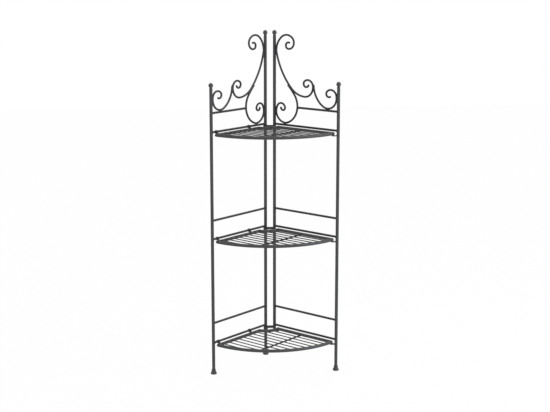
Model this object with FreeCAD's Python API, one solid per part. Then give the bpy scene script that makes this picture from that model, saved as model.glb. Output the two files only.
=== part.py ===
import FreeCAD, Part
import math
import os

# Folding three-tier corner stand, in millimetres, +Z up, standing on z = 0.
# Two flat side frames meet at the back and stand square to each other along the two walls of
# a corner. The right frame turns on the left one's back post. Each quarter-round shelf turns
# on the left frame's rail and rests on tabs of the right frame.

# Posts and their spacing
post_spacing = 305.0
back_post_gap = 35.0
post_radius = 6.0
post_wall = 1.0
front_post_top = 1082.0
back_post_top = 1257.0

# Rails: one at each shelf, with a guard rail above it
bottom_level = 124.0
middle_level = 524.0
top_level = 924.0
bottom_guard_rise = 76.0
guard_rise = 70.0
rail_radius = 4.2
rail_inset = 1.8

# Shelves
shelf_tube_radius = 6.0
shelf_tube_wall = 1.0
shelf_crest_drop = 4.55
rim_gap = 1.7
slat_radius = 2.0
slat_sink = 0.3
slat_pitch = 27.2
first_slat_from_bar = 14.4
cross_bar_radius = 3.0
cross_bar_from_rail = 171.2

# Shelf hinge eyes, round the left rail
shelf_eye_wall = 1.8
shelf_eye_length = 8.0
shelf_eye_web = 6.0
front_eye_from_post = 24.0
back_eye_from_post = 100.0

# Frame hinge eyes, round the left back post
frame_eye_wall = 2.45
frame_eye_height = 9.0
frame_eye_below_rail = 1.5
frame_eye_link = 6.0
collar_height = 6.0

# Shelf rest tabs on the right frame's posts
tab_thickness = 3.0
tab_width = 12.0
tab_overrun = 5.5

# Scrolls: rod bent flat, each bend a radius and the degrees it turns through
scroll_radius = 3.8
front_bowl_radius = 40.0
front_rise_bends = [(42.0, 31.0), (92.0, 56.5)]
front_hug = 4.0
front_curl_bends = [(26.0, 131.0), (12.0, 169.0)]
middle_hug_rise = 279.0
middle_fall_bends = [(13.0, 12.0), (274.0, 33.0), (78.0, 9.0), (96.0, 34.0), (38.0, 99.0)]
middle_curl_bends = [(24.0, 125.0), (12.0, 206.0)]
crown_bends = [(66.0, 52.0), (40.0, 80.0), (24.0, 150.0), (12.0, 191.0)]
back_bowl_radius = 46.0
back_fall_radius = 39.0
back_fall_turn = 31.0
back_rise_bends = [(14.0, 11.0), (68.0, 102.0), (74.0, 15.0), (366.0, 7.0)]
back_curl_bends = [(42.0, 32.0), (20.0, 128.0), (10.0, 194.0)]

# Finials
finial_ball_radius = 9.0
finial_neck_radius = 4.2
finial_collar_height = 2.5
finial_neck_height = 2.0
finial_point = 1.0
finial_crown_angle = 60.0
finial_spigot = 12.0

# Feet
foot_radius = 12.0
foot_height = 20.0
foot_sole_radius = 10.0
foot_sole_thickness = 3.0
foot_rim_height = 6.0
foot_wall = 1.5
foot_flare_sag = 0.8

# Fits
hinge_clearance = 0.05
rest_gap = 0.3
sweep_gap = 1.2
corner_gap = 7.0
weld_bite = 0.3

# Places worked out from the sizes above. A place in a side frame is (along, inward, up):
# along its wall from the back post, inward from the frame's plane, and up from the floor.
slant = math.sqrt(0.5)
half_gap = back_post_gap / 2
gap_step = back_post_gap * slant
far_post_reach = math.hypot(gap_step, post_spacing + gap_step)
rim_outer = math.sqrt((far_post_reach - post_radius - rim_gap) ** 2 - (gap_step / 2) ** 2) - gap_step / 2
rim_radius = rim_outer - shelf_tube_radius
back_y = (rim_outer - foot_radius) / 2
levels = {"bottom": bottom_level, "middle": middle_level, "top": top_level}
guard_rises = {"bottom": bottom_guard_rise, "middle": guard_rise, "top": guard_rise}
bar_inset = post_radius + sweep_gap + shelf_tube_radius
right_bar_along = bar_inset - gap_step
corner_radius = back_post_gap + post_radius + corner_gap + shelf_tube_radius
tube_drop = shelf_crest_drop + shelf_tube_radius
slat_drop = shelf_crest_drop + slat_sink + slat_radius
cross_drop = slat_drop + slat_radius + cross_bar_radius - weld_bite
tab_drop = tube_drop + shelf_tube_radius + rest_gap
frame_eye_top_drop = rail_radius + frame_eye_below_rail
right_post_end = bottom_level - tab_drop
up = FreeCAD.Vector(0, 0, 1)
origin = FreeCAD.Vector(0, 0, 0)


def point(along, inward, height):
    return FreeCAD.Vector(along, inward, height)


def to_left_frame(shape):
    """Put a shape made as (along, inward, up) where the left frame and its shelves stand."""
    placed = shape.copy()
    placed.rotate(origin, up, 225)
    placed.translate(FreeCAD.Vector(-half_gap, back_y, 0))
    return placed


def to_right_frame(shape):
    """The right frame is the left one's mirror image."""
    return to_left_frame(shape).mirror(origin, FreeCAD.Vector(1, 0, 0))


def rod(start, end, radius):
    return Part.makeCylinder(radius, (end - start).Length, start, end - start)


def tube(start, end, radius, wall):
    return rod(start, end, radius).cut(rod(start, end, radius - wall))


def ring_arc(center, ring_radius, radius, start_angle, end_angle):
    """A round bar bent level about a centre, from one angle to another."""
    angle = math.radians(start_angle)
    spoke = FreeCAD.Vector(math.cos(angle), math.sin(angle), 0)
    heading = FreeCAD.Vector(-math.sin(angle), math.cos(angle), 0)
    section = Part.Face(Part.Wire(Part.makeCircle(radius, center + spoke * ring_radius, heading)))
    return section.revolve(center, up, end_angle - start_angle)


def bent_bar(center, ring_radius, radius, start_angle, end_angle):
    """A bent round bar with a ball corner at each end."""
    bar = ring_arc(center, ring_radius, radius, start_angle, end_angle)
    for degrees in (start_angle, end_angle):
        angle = math.radians(degrees)
        end = center + FreeCAD.Vector(math.cos(angle), math.sin(angle), 0) * ring_radius
        bar = bar.fuse(Part.makeSphere(radius, end))
    return bar.removeSplitter()


# Scroll rods

def trace_bends(start, heading, bends, side):
    """Follow bends in the plane of a frame. Heading is in degrees up from along, and side is
    1 where the rod turns from along towards up, -1 the other way."""
    edges = []
    at = start
    angle = math.radians(heading)
    for radius, turn in bends:
        sweep = math.radians(turn) * side
        to_center = FreeCAD.Vector(-math.sin(angle), 0, math.cos(angle)) * (radius * side)
        center = at + to_center
        stops = []
        for share in (0.5, 1.0):
            turned = angle + sweep * share
            spoke = FreeCAD.Vector(math.sin(turned), 0, -math.cos(turned)) * (radius * side)
            stops.append(center + spoke)
        edges.append(Part.Arc(at, stops[0], stops[1]).toShape())
        at = stops[1]
        angle += sweep
    return edges, at


def bent_rod(edges, ends):
    """One rod swept along the edges, with rounded ends. The last edge runs out to an end."""
    heading = edges[-1].tangentAt(edges[-1].LastParameter)
    path = Part.Wire(Part.sortEdges(edges)[0])
    section = Part.Wire(Part.makeCircle(scroll_radius, ends[-1], heading))
    shape = path.makePipeShell([section], True)
    for end in ends:
        shape = shape.fuse(Part.makeSphere(scroll_radius, end))
    return shape


def front_scroll():
    """Bowl on the guard rail beside the front post, a curl above it and a tip that leans back."""
    touch = rail_radius + scroll_radius - weld_bite
    at_post = post_spacing - post_radius - scroll_radius + weld_bite
    bowl_height = top_level + guard_rise + touch
    bowl = point(at_post - front_bowl_radius, 0, bowl_height)
    hug_foot = point(at_post, 0, bowl_height + front_bowl_radius)
    hug_top = hug_foot + up * front_hug
    rise, tip = trace_bends(bowl, 180, front_rise_bends, -1)
    bowl_edges, bowl_end = trace_bends(bowl, 0, [(front_bowl_radius, 90)], 1)
    curl, curl_end = trace_bends(hug_top, 90, front_curl_bends, 1)
    hug = Part.LineSegment(bowl_end, hug_top).toShape()
    return bent_rod(rise + bowl_edges + [hug] + curl, [tip, curl_end])


def middle_scroll():
    """From a curl, down round a bowl, up beside the back post and out into the big crown curl."""
    at_post = post_radius + scroll_radius - weld_bite
    hug = point(at_post, 0, top_level + middle_hug_rise)
    fall, fall_end = trace_bends(hug, -90, middle_fall_bends + middle_curl_bends, 1)
    crown, crown_end = trace_bends(hug, 90, crown_bends, -1)
    return bent_rod(fall + crown, [fall_end, crown_end])


def back_scroll():
    """A curl inside a deep bowl that stands on the shelf rail and leans on the middle scroll."""
    at_post = post_radius + scroll_radius - weld_bite
    touch = math.sqrt((rail_radius + scroll_radius) ** 2 - rail_inset ** 2) - weld_bite
    turn = math.radians(back_fall_turn)
    bowl_along = at_post + back_fall_radius * (1 - math.cos(turn)) + back_bowl_radius * math.cos(turn)
    hug_rise = touch + back_fall_radius * math.sin(turn) + back_bowl_radius * (1 - math.sin(turn))
    bowl = point(bowl_along, 0, top_level + touch)
    hug = point(at_post, 0, top_level + hug_rise)
    fall_bends = [(back_bowl_radius, 90 - back_fall_turn), (back_fall_radius, back_fall_turn)]
    fall, fall_end = trace_bends(bowl, 180, fall_bends, -1)
    rise, tip = trace_bends(bowl, 0, back_rise_bends, 1)
    curl, curl_end = trace_bends(hug, 90, back_curl_bends, -1)
    return bent_rod(fall + rise + curl, [tip, curl_end])


# Side frame pieces

def front_post():
    return tube(point(post_spacing, 0, foot_sole_thickness), point(post_spacing, 0, front_post_top),
                post_radius, post_wall)


def back_post(lower_end):
    return tube(point(0, 0, lower_end), point(0, 0, back_post_top), post_radius, post_wall)


def post_envelopes():
    """The room that both posts of a frame take up, for trimming what is welded to them."""
    front = rod(point(post_spacing, 0, 0), point(post_spacing, 0, front_post_top), post_radius)
    back = rod(point(0, 0, 0), point(0, 0, back_post_top), post_radius)
    return [front, back]


def shelf_rail(level):
    bar = rod(point(0, rail_inset, level), point(post_spacing, rail_inset, level), rail_radius)
    return trimmed(bar, post_envelopes())


def guard_rail(height):
    bar = rod(point(0, 0, height), point(post_spacing, 0, height), rail_radius)
    return trimmed(bar, post_envelopes())


def trimmed(shape, others):
    """What is left of a shape between the pieces it is welded to: its largest solid."""
    left = shape.cut(others)
    return max(left.Solids, key=lambda solid: solid.Volume)


def ended_on(scroll, guard, height):
    """A guard rail that stops on the side of the scroll that faces the front post."""
    crossings = guard.common(scroll).Solids
    outer = max(crossings, key=lambda solid: solid.BoundBox.Center.x)
    stop = point(outer.BoundBox.Center.x + scroll_radius / 2, 0, height)
    behind = rod(point(0, 0, height), stop, post_radius)
    return trimmed(guard, [scroll, behind])


def turned(curves):
    """A solid turned about the upright axis from a closed outline of curves."""
    outline = Part.Wire([curve.toShape() for curve in curves])
    return Part.Face(outline).revolve(origin, up, 360)


def finial(along, post_top):
    """A ball with a slight point, on a neck, a collar and a spigot that fills the post's mouth."""
    bore = post_radius - post_wall
    neck_top = finial_collar_height + finial_neck_height
    ball_height = neck_top + math.sqrt(finial_ball_radius ** 2 - finial_neck_radius ** 2)
    crown = math.radians(finial_crown_angle)
    crown_place = point(finial_ball_radius * math.cos(crown), 0,
                        ball_height + finial_ball_radius * math.sin(crown))
    tip = point(0, 0, ball_height + finial_ball_radius + finial_point)
    corners = [point(0, 0, -finial_spigot), point(bore, 0, -finial_spigot), point(bore, 0, 0),
               point(post_radius, 0, 0), point(post_radius, 0, finial_collar_height),
               point(finial_neck_radius, 0, neck_top)]
    curves = [Part.LineSegment(a, b) for a, b in zip(corners, corners[1:])]
    curves.append(Part.Arc(corners[-1], point(finial_ball_radius, 0, ball_height), crown_place))
    curves.append(Part.LineSegment(crown_place, tip))
    curves.append(Part.LineSegment(tip, corners[0]))
    shape = turned(curves)
    shape.translate(point(along, 0, post_top))
    return shape


def foot(along):
    """A bell that the post stands in: a sleeve that flares to a rounded rim over a flat sole."""
    sleeve = post_radius + foot_wall
    sole = point(foot_sole_radius, 0, 0)
    rim_top = point(foot_sole_radius, 0, foot_rim_height)
    sleeve_top = point(sleeve, 0, foot_height)
    waist = (rim_top + sleeve_top) * 0.5 - point(foot_flare_sag, 0, 0)
    socket = [sleeve_top, point(post_radius, 0, foot_height), point(post_radius, 0, foot_sole_thickness),
              point(0, 0, foot_sole_thickness), origin, sole]
    curves = [Part.Arc(sole, point(foot_radius, 0, foot_rim_height / 2), rim_top)]
    curves.append(Part.Arc(rim_top, waist, sleeve_top))
    curves += [Part.LineSegment(a, b) for a, b in zip(socket, socket[1:])]
    shape = turned(curves)
    shape.translate(point(along, 0, 0))
    return shape


def side_frame(back_post_end):
    """All pieces that both side frames have."""
    pieces = {"front_post": front_post(), "back_post": back_post(back_post_end)}
    for name, level in levels.items():
        pieces[name + "_rail"] = shelf_rail(level)
    guards = {name: guard_rail(levels[name] + guard_rises[name]) for name in levels}
    middle = trimmed(middle_scroll(), post_envelopes())
    back = trimmed(back_scroll(), post_envelopes() + [middle, pieces["top_rail"]])
    guards["top"] = ended_on(back, guards["top"], top_level + guard_rise)
    front = trimmed(front_scroll(), post_envelopes() + [middle, guards["top"]])
    for name, guard in guards.items():
        pieces[name + "_guard_rail"] = guard
    pieces["front_scroll"] = front
    pieces["middle_scroll"] = middle
    pieces["back_scroll"] = back
    pieces["front_finial"] = finial(post_spacing, front_post_top)
    pieces["back_finial"] = finial(0, back_post_top)
    pieces["front_foot"] = foot(post_spacing)
    return pieces


# What joins the two frames

def frame_hinge_eyes():
    """An eye at each level, welded to the right back post and turning on the left one."""
    bore = post_radius + hinge_clearance
    eyes = []
    for level in levels.values():
        low = level - frame_eye_top_drop - frame_eye_height
        left = FreeCAD.Vector(-half_gap, back_y, low)
        right = FreeCAD.Vector(half_gap, back_y, low)
        corner = left - FreeCAD.Vector(0, frame_eye_link / 2, 0)
        link = Part.makeBox(back_post_gap, frame_eye_link, frame_eye_height, corner)
        ring = Part.makeCylinder(bore + frame_eye_wall, frame_eye_height, left)
        eye = ring.fuse(link).cut([Part.makeCylinder(bore, frame_eye_height, left),
                                   Part.makeCylinder(post_radius, frame_eye_height, right)])
        eyes.append(eye.removeSplitter())
    return Part.makeCompound(eyes)


def hinge_collar():
    """The collar on the left back post that carries the lowest eye."""
    top = bottom_level - frame_eye_top_drop - frame_eye_height - rest_gap
    outer = post_radius + hinge_clearance + frame_eye_wall
    return tube(point(0, 0, top - collar_height), point(0, 0, top), outer, outer - post_radius)


def rest_tab(post, target, height):
    """A flat tab that reaches from a post to just past the shelf corner it carries."""
    reach = target - post
    length = reach.Length + tab_overrun - tab_width / 2
    heading = math.degrees(math.atan2(reach.y, reach.x))
    plate = Part.makeBox(length, tab_width, tab_thickness, point(0, -tab_width / 2, 0))
    plate = plate.fuse(Part.makeCylinder(tab_width / 2, tab_thickness, point(length, 0, 0)))
    plate = plate.fuse(Part.makeCylinder(tab_width / 2, tab_thickness)).removeSplitter()
    plate.rotate(origin, up, heading)
    plate.translate(point(post.x, post.y, height - tab_thickness))
    return plate


def shelf_rest_tabs():
    """Two tabs at each level. The lowest back one also closes the end of its post."""
    front = point(-gap_step, post_spacing + gap_step, 0)
    back = point(-gap_step, gap_step, 0)
    corner_ends = right_bar_ends()
    tabs = []
    for name, level in levels.items():
        height = level - tab_drop
        for post, target in ((front, corner_ends[1]), (back, corner_ends[0])):
            tab = rest_tab(post, target, height)
            ends_here = post is back and name == "bottom"
            if not ends_here:
                tab = trimmed(tab, [rod(post + up * (level - 2 * tab_drop), post + up * level, post_radius)])
            tabs.append(tab)
    return Part.makeCompound(tabs)


# Shelf pieces

def rim_center():
    return point(-gap_step / 2, gap_step / 2, 0)


def left_bar_ends():
    start = math.sqrt(corner_radius ** 2 - bar_inset ** 2)
    end = math.sqrt(rim_radius ** 2 - (bar_inset - gap_step / 2) ** 2) - gap_step / 2
    return point(start, bar_inset, 0), point(end, bar_inset, 0)


def right_bar_ends():
    start = math.sqrt(corner_radius ** 2 - right_bar_along ** 2)
    end = math.sqrt(rim_radius ** 2 - (right_bar_along + gap_step / 2) ** 2) + gap_step / 2
    return point(right_bar_along, start, 0), point(right_bar_along, end, 0)


def angle_about(center, place):
    return math.degrees(math.atan2(place.y - center.y, place.x - center.x))


def rim_place(level):
    """Centre, radius, first and last angle of the rim's centreline."""
    center = rim_center()
    first = angle_about(center, left_bar_ends()[1])
    last = angle_about(center, right_bar_ends()[1])
    return center + up * (level - tube_drop), rim_radius, first, last


def corner_place(level):
    """Centre, radius, first and last angle of the bent back corner's centreline."""
    first = angle_about(origin, left_bar_ends()[0])
    last = angle_about(origin, right_bar_ends()[0])
    return up * (level - tube_drop), corner_radius, first, last


def bent_tube(place):
    center, ring_radius, first, last = place
    bar = bent_bar(center, ring_radius, shelf_tube_radius, first, last)
    bore = ring_arc(center, ring_radius, shelf_tube_radius - shelf_tube_wall, first, last)
    return bar.cut(bore)


def bar_rod(ends, level, radius):
    drop = up * (level - tube_drop)
    return rod(ends[0] + drop, ends[1] + drop, radius)


def shelf_outline(level):
    """The shelf's tubes without their bores, for trimming what is welded to them."""
    bent = []
    for center, ring_radius, first, last in (rim_place(level), corner_place(level)):
        bent.append(bent_bar(center, ring_radius, shelf_tube_radius, first, last))
    left = bar_rod(left_bar_ends(), level, shelf_tube_radius)
    right = bar_rod(right_bar_ends(), level, shelf_tube_radius)
    return bent + [left, right]


def shelf_bar(ends, level, bent):
    bore = bar_rod(ends, level, shelf_tube_radius - shelf_tube_wall)
    return trimmed(bar_rod(ends, level, shelf_tube_radius), bent + [bore])


def shelf_slats(level, outline):
    """Wires from the left bar, or from the bent back corner, out to the rim."""
    height = level - slat_drop
    last = left_bar_ends()[1].x - slat_pitch / 2
    along = right_bar_along + first_slat_from_bar
    slats = []
    while along <= last:
        start = bar_inset
        if along < left_bar_ends()[0].x:
            start = math.sqrt(corner_radius ** 2 - along ** 2)
        end = math.sqrt(rim_radius ** 2 - (along + gap_step / 2) ** 2) + gap_step / 2
        wire = rod(point(along, start, height), point(along, end, height), slat_radius)
        slats.append(trimmed(wire, outline))
        along += slat_pitch
    return slats


def shelf_cross_bar(level, outline, slats):
    inward = rail_inset + cross_bar_from_rail
    height = level - cross_drop
    end = math.sqrt(rim_radius ** 2 - (inward - gap_step / 2) ** 2) - gap_step / 2
    bar = rod(point(right_bar_along, inward, height), point(end, inward, height), cross_bar_radius)
    return trimmed(bar, outline + slats)


def shelf_hinge_eyes(level):
    """Two eyes round the left rail, each with a web down to the shelf's left bar."""
    bore = rail_radius + hinge_clearance
    first, last = left_bar_ends()
    step_in = bar_inset - rail_inset
    slope = math.degrees(math.atan2(-tube_drop, step_in))
    web_length = math.hypot(step_in, tube_drop)
    bar = bar_rod((first, last), level, shelf_tube_radius)
    eyes = []
    for middle in (back_eye_from_post, post_spacing - front_eye_from_post):
        low = middle - shelf_eye_length / 2
        start = point(low, rail_inset, level)
        end = point(low + shelf_eye_length, rail_inset, level)
        ring = rod(start, end, bore + shelf_eye_wall)
        web = Part.makeBox(shelf_eye_length, web_length, shelf_eye_web, point(low, 0, -shelf_eye_web / 2))
        web.rotate(point(low, 0, 0), FreeCAD.Vector(1, 0, 0), slope)
        web.translate(point(0, rail_inset, level))
        eyes.append(trimmed(ring.fuse(web), [rod(start, end, bore), bar]))
    return Part.makeCompound(eyes)


def shelf(level):
    outline = shelf_outline(level)
    slats = shelf_slats(level, outline)
    return {
        "rim": bent_tube(rim_place(level)),
        "corner": bent_tube(corner_place(level)),
        "left_bar": shelf_bar(left_bar_ends(), level, outline[:2]),
        "right_bar": shelf_bar(right_bar_ends(), level, outline[:2]),
        "slats": Part.makeCompound(slats),
        "cross_bar": shelf_cross_bar(level, outline, slats),
        "hinge_eyes": shelf_hinge_eyes(level),
    }


# The whole stand

nodes = {}
for name, piece in side_frame(foot_sole_thickness).items():
    nodes["left_" + name] = to_left_frame(piece)
nodes["left_back_foot"] = to_left_frame(foot(0))
nodes["hinge_collar"] = to_left_frame(hinge_collar())
for name, piece in side_frame(right_post_end).items():
    nodes["right_" + name] = to_right_frame(piece)
nodes["frame_hinge_eyes"] = frame_hinge_eyes()
nodes["shelf_rest_tabs"] = to_left_frame(shelf_rest_tabs())
for name, level in levels.items():
    for piece_name, piece in shelf(level).items():
        nodes[name + "_shelf_" + piece_name] = to_left_frame(piece)

os.makedirs("parts", exist_ok=True)
for name, shape in nodes.items():
    shape.exportStep("parts/" + name + ".step")
    print(name, len(shape.Solids), round(shape.Volume, 1), shape.isValid())
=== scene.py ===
import math

import bpy
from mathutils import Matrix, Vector
from mathutils.bvhtree import BVHTree


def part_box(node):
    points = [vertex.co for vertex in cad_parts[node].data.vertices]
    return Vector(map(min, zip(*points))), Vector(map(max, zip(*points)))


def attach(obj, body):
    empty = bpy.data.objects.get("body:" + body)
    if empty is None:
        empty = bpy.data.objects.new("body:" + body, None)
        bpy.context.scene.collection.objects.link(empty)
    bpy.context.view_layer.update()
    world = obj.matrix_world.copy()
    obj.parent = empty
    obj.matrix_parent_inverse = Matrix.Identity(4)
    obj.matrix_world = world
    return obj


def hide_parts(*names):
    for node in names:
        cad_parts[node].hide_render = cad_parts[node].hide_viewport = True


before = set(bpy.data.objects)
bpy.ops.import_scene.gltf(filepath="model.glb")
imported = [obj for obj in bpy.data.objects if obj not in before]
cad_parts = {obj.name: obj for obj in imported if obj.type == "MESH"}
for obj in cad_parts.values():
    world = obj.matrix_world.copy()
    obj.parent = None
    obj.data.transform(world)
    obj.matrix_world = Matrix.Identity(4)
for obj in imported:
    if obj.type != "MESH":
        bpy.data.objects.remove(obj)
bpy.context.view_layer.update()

# Camera. It looks a little down at the stand from in front and slightly to its left, through a
# long lens. Its place and lens were fitted to the posts and rails of the photograph.
photo_width_px = 550
focal_px = 1245.04
sensor_mm = 36.0
camera_pitch = 0.20405
camera_yaw = 0.09058
camera_data = bpy.data.cameras.new("camera")
camera_data.sensor_width = sensor_mm
camera_data.lens = focal_px / photo_width_px * sensor_mm
camera = bpy.data.objects.new("camera", camera_data)
camera.location = (-0.40856, -4.56337, 1.58044)
camera.rotation_euler = (math.pi / 2 - camera_pitch, 0, -camera_yaw)
bpy.context.scene.collection.objects.link(camera)
bpy.context.scene.camera = camera

# Studio. White paper floor under soft light, most of it from the right, some from above. The floor
# and the world are white to the camera and in reflections, and the floor keeps a faint shadow.
bpy.context.scene.view_settings.view_transform = "Standard"
paper_white = (0.93, 0.93, 0.93, 1)
white = (1, 1, 1, 1)
paper_share_seen_white = 0.985
ambient_strength = 0.5
bpy.ops.mesh.primitive_plane_add(size=16)
floor = bpy.context.object
floor.name = "floor"
paper = bpy.data.materials.new("studio_paper")
paper.use_nodes = True
tree = paper.node_tree
tree.nodes.clear()
rays = tree.nodes.new("ShaderNodeLightPath")
seen = tree.nodes.new("ShaderNodeMath")
seen.operation = "MAXIMUM"
share = tree.nodes.new("ShaderNodeMath")
share.operation = "MULTIPLY"
share.inputs[1].default_value = paper_share_seen_white
lit = tree.nodes.new("ShaderNodeBsdfDiffuse")
lit.inputs["Color"].default_value = paper_white
bright = tree.nodes.new("ShaderNodeEmission")
bright.inputs["Color"].default_value = white
mix = tree.nodes.new("ShaderNodeMixShader")
out = tree.nodes.new("ShaderNodeOutputMaterial")
tree.links.new(rays.outputs["Is Camera Ray"], seen.inputs[0])
tree.links.new(rays.outputs["Is Glossy Ray"], seen.inputs[1])
tree.links.new(seen.outputs[0], share.inputs[0])
tree.links.new(share.outputs[0], mix.inputs[0])
tree.links.new(lit.outputs[0], mix.inputs[1])
tree.links.new(bright.outputs[0], mix.inputs[2])
tree.links.new(mix.outputs[0], out.inputs["Surface"])
floor.data.materials.append(paper)

world = bpy.data.worlds.new("studio")
bpy.context.scene.world = world
world.use_nodes = True
tree = world.node_tree
tree.nodes.clear()
rays = tree.nodes.new("ShaderNodeLightPath")
seen = tree.nodes.new("ShaderNodeMath")
seen.operation = "MAXIMUM"
ambient = tree.nodes.new("ShaderNodeBackground")
ambient.inputs["Strength"].default_value = ambient_strength
ambient.inputs["Color"].default_value = white
backdrop = tree.nodes.new("ShaderNodeBackground")
backdrop.inputs["Color"].default_value = white
mix = tree.nodes.new("ShaderNodeMixShader")
out = tree.nodes.new("ShaderNodeOutputWorld")
tree.links.new(rays.outputs["Is Camera Ray"], seen.inputs[0])
tree.links.new(rays.outputs["Is Glossy Ray"], seen.inputs[1])
tree.links.new(seen.outputs[0], mix.inputs[0])
tree.links.new(ambient.outputs[0], mix.inputs[1])
tree.links.new(backdrop.outputs[0], mix.inputs[2])
tree.links.new(mix.outputs[0], out.inputs["Surface"])

light_aim = Vector((0, 0, 0.65))
for light_name, light_place, light_size, watts in (
        ("key_light", (3.2, -2.0, 2.2), 1.6, 75),
        ("fill_light", (-3.0, -1.4, 1.5), 2.0, 5),
        ("top_light", (0.2, 0.6, 3.6), 1.8, 14)):
    light_data = bpy.data.lights.new(light_name, "AREA")
    light_data.size = light_size
    light_data.energy = watts
    light = bpy.data.objects.new(light_name, light_data)
    light.location = light_place
    light.rotation_euler = (light_aim - light.location).to_track_quat("-Z", "Y").to_euler()
    light.visible_camera = False
    bpy.context.scene.collection.objects.link(light)

# Posts. Twelve millimetre steel tube, two to each side frame, powder coated in anthracite. The
# coat has a fine orange peel, faint cloudy patches, and a film of dust where it faces up.
anthracite = (0.050, 0.052, 0.055, 1)
anthracite_pale = (0.064, 0.066, 0.069, 1)
rod_anthracite = (0.021, 0.022, 0.025, 1)
rod_anthracite_pale = (0.029, 0.030, 0.033, 1)
coat_gloss = 0.36
peel_per_m = 620.0
grit_per_m = 2600.0
grit_share = 0.35
clouds_per_m = 16.0
dust_patches_per_m = 90.0
chips_per_m = 420.0
worn_edge_radius = 0.0007
peel_strength = 0.3
peel_depth = 0.00006
dust_dulls = 0.3
wear_polishes = 0.12
dust_grey = (0.30, 0.29, 0.27, 1)
steel_rub = (0.16, 0.16, 0.165, 1)


def node_group(name, inputs, outputs):
    group = bpy.data.node_groups.new(name, "ShaderNodeTree")
    for socket, kind, value in inputs:
        made = group.interface.new_socket(socket, in_out="INPUT", socket_type=kind)
        if value is not None:
            made.default_value = value
    for socket, kind in outputs:
        group.interface.new_socket(socket, in_out="OUTPUT", socket_type=kind)
    entry = group.nodes.new("NodeGroupInput")
    result = group.nodes.new("NodeGroupOutput")
    return group, entry, result


def add_noise(tree, vector, scale, detail):
    noise = tree.nodes.new("ShaderNodeTexNoise")
    noise.inputs["Scale"].default_value = scale
    noise.inputs["Detail"].default_value = detail
    tree.links.new(vector, noise.inputs["Vector"])
    return noise.outputs["Fac"]


def add_math(tree, operation, first, second):
    node = tree.nodes.new("ShaderNodeMath")
    node.operation = operation
    for socket, value in zip(node.inputs, (first, second)):
        if isinstance(value, (int, float)):
            socket.default_value = value
        else:
            tree.links.new(value, socket)
    return node.outputs[0]


def add_range(tree, value, low, high, first, last):
    node = tree.nodes.new("ShaderNodeMapRange")
    node.inputs["From Min"].default_value = low
    node.inputs["From Max"].default_value = high
    node.inputs["To Min"].default_value = first
    node.inputs["To Max"].default_value = last
    tree.links.new(value, node.inputs["Value"])
    return node.outputs["Result"]


coat_grain, entry, result = node_group(
    "coat_grain",
    [("Vector", "NodeSocketVector", None), ("Peel", "NodeSocketFloat", 1.0)],
    [("Height", "NodeSocketFloat"), ("Clouds", "NodeSocketFloat")])
peel = add_noise(coat_grain, entry.outputs["Vector"], peel_per_m, 2.0)
grit = add_noise(coat_grain, entry.outputs["Vector"], grit_per_m, 1.0)
clouds = add_noise(coat_grain, entry.outputs["Vector"], clouds_per_m, 4.0)
height = add_math(coat_grain, "ADD", peel, add_math(coat_grain, "MULTIPLY", grit, grit_share))
height = add_math(coat_grain, "MULTIPLY", height, entry.outputs["Peel"])
coat_grain.links.new(height, result.inputs["Height"])
coat_grain.links.new(add_range(coat_grain, clouds, 0.3, 0.7, 0.0, 1.0), result.inputs["Clouds"])

dust_film, entry, result = node_group(
    "dust_film",
    [("Vector", "NodeSocketVector", None), ("Amount", "NodeSocketFloat", 0.2)],
    [("Mask", "NodeSocketFloat")])
facing = dust_film.nodes.new("ShaderNodeNewGeometry")
split = dust_film.nodes.new("ShaderNodeSeparateXYZ")
dust_film.links.new(facing.outputs["Normal"], split.inputs[0])
upward = add_range(dust_film, split.outputs["Z"], 0.35, 1.0, 0.0, 1.0)
patches = add_noise(dust_film, entry.outputs["Vector"], dust_patches_per_m, 3.0)
patches = add_range(dust_film, patches, 0.3, 0.7, 0.35, 1.0)
settled = add_math(dust_film, "MULTIPLY", upward, patches)
mask = add_math(dust_film, "MULTIPLY", settled, entry.outputs["Amount"])
dust_film.links.new(mask, result.inputs["Mask"])

edge_wear, entry, result = node_group(
    "edge_wear",
    [("Vector", "NodeSocketVector", None), ("Amount", "NodeSocketFloat", 0.5)],
    [("Mask", "NodeSocketFloat")])
rounded = edge_wear.nodes.new("ShaderNodeBevel")
rounded.inputs["Radius"].default_value = worn_edge_radius
true = edge_wear.nodes.new("ShaderNodeNewGeometry")
dot = edge_wear.nodes.new("ShaderNodeVectorMath")
dot.operation = "DOT_PRODUCT"
edge_wear.links.new(rounded.outputs[0], dot.inputs[0])
edge_wear.links.new(true.outputs["Normal"], dot.inputs[1])
sharp = add_range(edge_wear, dot.outputs["Value"], 0.97, 0.80, 0.0, 1.0)
chips = add_noise(edge_wear, entry.outputs["Vector"], chips_per_m, 3.0)
chips = add_range(edge_wear, chips, 0.45, 0.62, 0.0, 1.0)
rubbed = add_math(edge_wear, "MULTIPLY", sharp, chips)
mask = add_math(edge_wear, "MULTIPLY", rubbed, entry.outputs["Amount"])
edge_wear.links.new(mask, result.inputs["Mask"])


def add_blend(tree, mask, first, second):
    """Mix two colours, each a constant or a socket, by a mask."""
    node = tree.nodes.new("ShaderNodeMix")
    node.data_type = "RGBA"
    tree.links.new(mask, node.inputs[0])
    for socket, value in ((node.inputs[6], first), (node.inputs[7], second)):
        if isinstance(value, tuple):
            socket.default_value = value
        else:
            tree.links.new(value, socket)
    return node.outputs[2]


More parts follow.
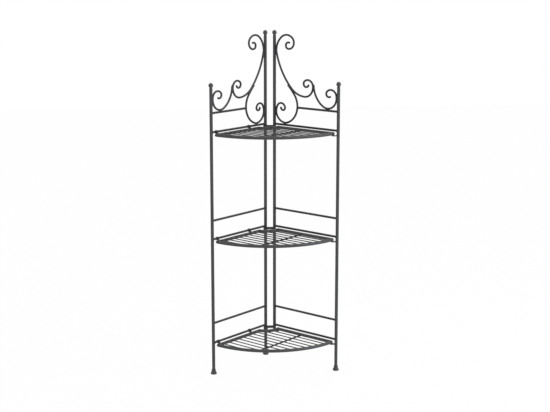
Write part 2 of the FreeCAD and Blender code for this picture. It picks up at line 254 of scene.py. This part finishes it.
def powder_coat(name, colours, roughness, peel, dust, wear=0.0):
    """Powder coat in two close greys. Peel is the depth of its orange peel, dust and wear how much
    of them shows."""
    material = bpy.data.materials.new(name)
    material.use_nodes = True
    tree = material.node_tree
    shader = tree.nodes["Principled BSDF"]
    shader.inputs["Specular IOR Level"].default_value = coat_gloss
    place = tree.nodes.new("ShaderNodeTexCoord").outputs["Object"]
    grain = tree.nodes.new("ShaderNodeGroup")
    grain.node_tree = coat_grain
    grain.inputs["Peel"].default_value = peel
    film = tree.nodes.new("ShaderNodeGroup")
    film.node_tree = dust_film
    film.inputs["Amount"].default_value = dust
    tree.links.new(place, grain.inputs["Vector"])
    tree.links.new(place, film.inputs["Vector"])
    colour = add_blend(tree, grain.outputs["Clouds"], colours[0], colours[1])
    colour = add_blend(tree, film.outputs["Mask"], colour, dust_grey)
    shine = add_range(tree, grain.outputs["Clouds"], 0.0, 1.0, roughness - 0.05, roughness + 0.05)
    shine = add_math(tree, "ADD", shine, add_math(tree, "MULTIPLY", film.outputs["Mask"], dust_dulls))
    if wear > 0:
        rub = tree.nodes.new("ShaderNodeGroup")
        rub.node_tree = edge_wear
        rub.inputs["Amount"].default_value = wear
        tree.links.new(place, rub.inputs["Vector"])
        colour = add_blend(tree, rub.outputs["Mask"], colour, steel_rub)
        polish = add_math(tree, "MULTIPLY", rub.outputs["Mask"], wear_polishes)
        shine = add_math(tree, "SUBTRACT", shine, polish)
    bump = tree.nodes.new("ShaderNodeBump")
    bump.inputs["Strength"].default_value = peel_strength
    bump.inputs["Distance"].default_value = peel_depth
    tree.links.new(grain.outputs["Height"], bump.inputs["Height"])
    tree.links.new(colour, shader.inputs["Base Color"])
    tree.links.new(shine, shader.inputs["Roughness"])
    tree.links.new(bump.outputs["Normal"], shader.inputs["Normal"])
    return material


def coat_nodes(material, names):
    for name in names:
        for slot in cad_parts[name].material_slots:
            slot.material = material


post_greys = (anthracite, anthracite_pale)
rod_greys = (rod_anthracite, rod_anthracite_pale)
post_coat = powder_coat("post_powder_coat", post_greys, 0.44, 1.0, 0.06)
coat_nodes(post_coat, ["left_front_post", "left_back_post", "right_front_post", "right_back_post"])

# Feet. Three spun steel bells that the posts stand in, coated like the posts, each with a black
# nylon glide pressed in from below. The right back post ends at the bottom shelf and has none.
foot_segments = 40
finial_segments = 32
glide_black = (0.018, 0.018, 0.019, 1)
glide_scuffed = (0.05, 0.05, 0.048, 1)
scuffs_per_m = 700.0
post_spacing = 0.305
back_post_gap = 0.035
back_y = 0.149182
slant = math.sqrt(0.5)


def in_frame(side, along, inward, height):
    """A place in the left (-1) or right (1) side frame, in metres from its back post."""
    across = back_post_gap / 2 + (along - inward) * slant
    return Vector((side * across, back_y - (along + inward) * slant, height))


def edit(piece):
    """Select one piece alone and open it for editing with nothing selected in it."""
    bpy.ops.object.select_all(action="DESELECT")
    bpy.context.view_layer.objects.active = piece
    piece.select_set(True)
    bpy.ops.object.mode_set(mode="EDIT")
    bpy.ops.mesh.select_all(action="DESELECT")


def settle(piece, body, slot, material, *nodes):
    """Put a finished piece's place into its mesh, and name its body, finish and nodes. The slot is not used.
    """
    bpy.ops.object.select_all(action="DESELECT")
    bpy.context.view_layer.objects.active = piece
    piece.select_set(True)
    bpy.ops.object.transform_apply(location=True, rotation=True, scale=True)
    for modifier in list(piece.modifiers):
        bpy.ops.object.modifier_apply(modifier=modifier.name)
    piece.data.materials.clear()
    piece.data.materials.append(material)
    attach(piece, body)
    if nodes:
        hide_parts(*nodes)


def turned(name, place, rings, segments):
    """Spin a form up from its bottom ring: each ring is a radius and a height above the place."""
    bpy.ops.object.select_all(action="DESELECT")
    bpy.ops.mesh.primitive_circle_add(vertices=segments, radius=rings[0][0], fill_type="NGON",
                                      location=place + Vector((0, 0, rings[0][1])))
    piece = bpy.context.object
    piece.name = name
    edit(piece)
    bpy.ops.mesh.select_all(action="SELECT")
    for (radius, low), (next_radius, high) in zip(rings, rings[1:]):
        bpy.ops.mesh.extrude_region_move(TRANSFORM_OT_translate={"value": (0, 0, high - low)})
        grow = next_radius / radius
        bpy.ops.transform.resize(value=(grow, grow, 1), center_override=place + Vector((0, 0, high)))
    bpy.ops.mesh.select_all(action="SELECT")
    bpy.ops.mesh.normals_make_consistent(inside=False)
    bpy.ops.object.mode_set(mode="OBJECT")
    return piece


def soften(piece, width, levels):
    """Break the sharp rims of a turned piece, then smooth it."""
    bevel = piece.modifiers.new("bevel", "BEVEL")
    bevel.width = width
    bevel.segments = 2
    bevel.limit_method = "ANGLE"
    bevel.angle_limit = math.radians(30)
    if levels:
        surface = piece.modifiers.new("surface", "SUBSURF")
        surface.levels = levels
        surface.render_levels = levels
    bpy.ops.object.select_all(action="DESELECT")
    bpy.context.view_layer.objects.active = piece
    piece.select_set(True)
    bpy.ops.object.shade_smooth()


bell_rings = [(0.0085, 0.0012), (0.0096, 0.0006), (0.0110, 0.0010), (0.0119, 0.0028), (0.0119, 0.0042),
              (0.0113, 0.0058), (0.0100, 0.0078), (0.0088, 0.0106), (0.0080, 0.0142), (0.0076, 0.0178),
              (0.0076, 0.0194), (0.0073, 0.0200), (0.0063, 0.0200), (0.0060, 0.0196)]
glide_rings = [(0.0070, 0.0), (0.0084, 0.0), (0.0090, 0.0005), (0.0090, 0.0016)]
foot_coat = powder_coat("foot_powder_coat", post_greys, 0.46, 1.2, 0.12, wear=0.5)

glide_nylon = bpy.data.materials.new("glide_nylon")
glide_nylon.use_nodes = True
tree = glide_nylon.node_tree
shader = tree.nodes["Principled BSDF"]
place = tree.nodes.new("ShaderNodeTexCoord").outputs["Object"]
scuffs = add_noise(tree, place, scuffs_per_m, 4.0)
tree.links.new(add_blend(tree, scuffs, glide_black, glide_scuffed), shader.inputs["Base Color"])
tree.links.new(add_range(tree, scuffs, 0.3, 0.7, 0.45, 0.7), shader.inputs["Roughness"])

for side, body, node, along in ((-1, "left_frame", "left_front_foot", post_spacing),
                                (-1, "left_frame", "left_back_foot", 0),
                                (1, "right_frame", "right_front_foot", post_spacing)):
    stand = in_frame(side, along, 0, 0)
    bell = turned(node + "_bell", stand, bell_rings, foot_segments)
    soften(bell, 0.0003, 1)
    settle(bell, body, "feet", foot_coat, node)
    glide = turned(node + "_glide", stand, glide_rings, foot_segments)
    soften(glide, 0.0002, 0)
    settle(glide, body, "feet", glide_nylon)

# Finials. A slightly pointed steel ball on a short neck closes the top of each post. Its collar
# sits on the tube's end, and the coat is thinner on the point and on the collar's rim.
finial_rings = [(0.0048, -0.010), (0.0050, -0.0095), (0.0050, -0.0004), (0.0058, 0.0), (0.0064, 0.0005),
                (0.0065, 0.0012), (0.0062, 0.0021), (0.0052, 0.0029), (0.0045, 0.0036), (0.0044, 0.0044),
                (0.0056, 0.0054), (0.0073, 0.0074), (0.0085, 0.0100), (0.0089, 0.0126), (0.0086, 0.0152),
                (0.0076, 0.0177), (0.0059, 0.0199), (0.0038, 0.0214), (0.0017, 0.0222), (0.0004, 0.02245)]
finial_coat = powder_coat("finial_powder_coat", post_greys, 0.40, 0.9, 0.08, wear=0.35)
for side, body, name in ((-1, "left_frame", "left"), (1, "right_frame", "right")):
    for end, along in (("front", post_spacing), ("back", 0)):
        top = in_frame(side, along, 0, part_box(name + "_" + end + "_post")[1].z)
        ball = turned(name + "_" + end + "_finial_ball", top, finial_rings, finial_segments)
        soften(ball, 0.0001, 1)
        settle(ball, body, "finials", finial_coat, name + "_" + end + "_finial")

# Rails. Round rod between the posts, one at each shelf and a guard rail above it, in the same
# coat as the scrolls. Each end is welded to its tube with a small lumpy bead all round.
rail_coat = powder_coat("rail_powder_coat", rod_greys, 0.43, 1.0, 0.10)
weld_coat = powder_coat("weld_powder_coat", rod_greys, 0.48, 1.6, 0.08, wear=0.25)
levels = ("bottom", "middle", "top")
kinds = ("_rail", "_guard_rail")
rail_bead = (0.0043, 0.0010, 24)
frame_bead_lump = 0.0005
bead_ripple = 0.0016
for name in ("left", "right"):
    coat_nodes(rail_coat, [name + "_" + level + kind for level in levels for kind in kinds])


def points_of(node):
    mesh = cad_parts[node].data
    mesh.calc_loop_triangles()
    corners = [v.co.copy() for v in mesh.vertices]
    return corners, [tuple(t.vertices) for t in mesh.loop_triangles]


def meeting_places(first, second, apart=0.02, reach=0.00015):
    """Where one CAD node touches another: the middle of each patch of corners that do."""
    corners, _ = points_of(first)
    surface = BVHTree.FromPolygons(*points_of(second))
    patches = []
    for corner in corners:
        hit = surface.find_nearest(corner, reach)
        if hit[0] is None:
            continue
        for patch in patches:
            if (patch[0] / patch[1] - corner).length < apart:
                patch[0] += corner
                patch[1] += 1
                break
        else:
            patches.append([corner.copy(), 1])
    return [patch[0] / patch[1] for patch in patches]


def bead_ring(place, heading, radius, bead, steps):
    """A weld bead all round a rod, where the rod meets a tube."""
    turn = heading.to_track_quat("Z", "Y").to_euler()
    bpy.ops.object.select_all(action="DESELECT")
    bpy.ops.mesh.primitive_torus_add(location=place, rotation=turn, major_radius=radius, minor_radius=bead,
                                     major_segments=steps, minor_segments=6)
    return bpy.context.object


def bead_tack(place, heading, length, width):
    """A short tack weld that fills the groove between two rods that touch side by side."""
    turn = heading.to_track_quat("Z", "Y").to_euler()
    bpy.ops.object.select_all(action="DESELECT")
    bpy.ops.mesh.primitive_uv_sphere_add(location=place, rotation=turn, radius=0.5, segments=12,
                                         ring_count=8, scale=(width, width, length))
    return bpy.context.object


def weld_seam(name, beads, lump, body, slot):
    """Join a set of beads into one piece and make them uneven, as hand welding leaves them."""
    bpy.ops.object.select_all(action="DESELECT")
    for bead in beads:
        bead.select_set(True)
    bpy.context.view_layer.objects.active = beads[0]
    bpy.ops.object.transform_apply(location=True, rotation=True, scale=True)
    bpy.ops.object.join()
    seam = bpy.context.object
    seam.name = name
    ripple = bpy.data.textures.new(name + "_ripple", "CLOUDS")
    ripple.noise_scale = bead_ripple
    uneven = seam.modifiers.new("uneven", "DISPLACE")
    uneven.texture = ripple
    uneven.texture_coords = "LOCAL"
    uneven.strength = lump
    uneven.mid_level = 0.5
    bpy.ops.object.shade_smooth()
    settle(seam, body, slot, weld_coat)


along_left = Vector((-slant, -slant, 0))
for side, name in ((-1, "left"), (1, "right")):
    along = Vector((-side * along_left.x, along_left.y, 0))
    for level in levels:
        beads = []
        for kind in kinds:
            for post in ("_front_post", "_back_post"):
                for spot in meeting_places(name + "_" + level + kind, name + post):
                    beads.append(bead_ring(spot, along, *rail_bead))
        weld_seam(name + "_" + level + "_rail_welds", beads, frame_bead_lump, name + "_frame", "frame_steel")

# Scrolls. Three lengths of steel rod bent cold into curls in each frame's plane. They touch the
# posts, the rails and each other, and a tack weld on both faces holds each such spot.
tack_length = 0.0080
tack_width = 0.0050
scroll_coat = powder_coat("scroll_powder_coat", rod_greys, 0.41, 1.0, 0.10)
for name in ("left", "right"):
    coat_nodes(scroll_coat, [name + "_" + part + "_scroll" for part in ("front", "middle", "back")])
    beads = []
    touching = (("_front_scroll", "_top_guard_rail"), ("_front_scroll", "_front_post"),
                ("_front_scroll", "_middle_scroll"), ("_middle_scroll", "_back_post"),
                ("_middle_scroll", "_back_scroll"), ("_middle_scroll", "_top_guard_rail"),
                ("_back_scroll", "_top_rail"), ("_back_scroll", "_back_post"),
                ("_back_scroll", "_top_guard_rail"))
    for rod, other in touching:
        upright = other in ("_front_post", "_back_post")
        heading = Vector((0, 0, 1)) if upright else along_left * (1 if name == "left" else -1)
        for spot in meeting_places(name + rod, name + other):
            beads.append(bead_tack(spot, heading, tack_length, tack_width))
    weld_seam(name + "_scroll_welds", beads, frame_bead_lump, name + "_frame", "frame_steel")

# Hinge eyes, their collar and the rest tabs. Plain steel pieces welded to the frames. The coat
# is rubbed through on their edges, where steel turns and rests on steel.
hinge_coat = powder_coat("hinge_powder_coat", rod_greys, 0.42, 1.0, 0.02, wear=0.9)
coat_nodes(hinge_coat, ["hinge_collar", "frame_hinge_eyes", "shelf_rest_tabs"])
coat_nodes(hinge_coat, [level + "_shelf_hinge_eyes" for level in levels])

# Shelves. A quarter round of twelve millimetre tube with four millimetre wires across it and one
# six millimetre bar under the wires. The tops of the tubes and wires gather a little dust.
tube_bead = (0.0057, 0.0009, 28)
cross_bar_bead = (0.0029, 0.0008, 16)
slat_bead = (0.0020, 0.0006, 12)
slat_spacing_least = 0.008
shelf_bead_lump = 0.0003
across_left = Vector((slant, -slant, 0))
shelf_coat = powder_coat("shelf_powder_coat", post_greys, 0.42, 1.0, 0.10)
slat_coat = powder_coat("slat_powder_coat", rod_greys, 0.45, 0.9, 0.12)
for level in levels:
    shelf = level + "_shelf"
    coat_nodes(shelf_coat, [shelf + part for part in ("_rim", "_corner", "_left_bar", "_right_bar")])
    coat_nodes(slat_coat, [shelf + "_slats", shelf + "_cross_bar"])
    beads = []
    for part, others in (("_left_bar", ("_rim", "_corner")), ("_right_bar", ("_rim", "_corner"))):
        heading = along_left if part == "_left_bar" else across_left
        for other in others:
            for spot in meeting_places(shelf + part, shelf + other):
                beads.append(bead_ring(spot, heading, *tube_bead))
    for other in ("_rim", "_right_bar"):
        for spot in meeting_places(shelf + "_cross_bar", shelf + other):
            beads.append(bead_ring(spot, along_left, *cross_bar_bead))
    for other in ("_rim", "_corner", "_left_bar"):
        for spot in meeting_places(shelf + "_slats", shelf + other, apart=slat_spacing_least):
            beads.append(bead_ring(spot, across_left, *slat_bead))
    weld_seam(shelf + "_welds", beads, shelf_bead_lump, shelf, "shelf_steel")
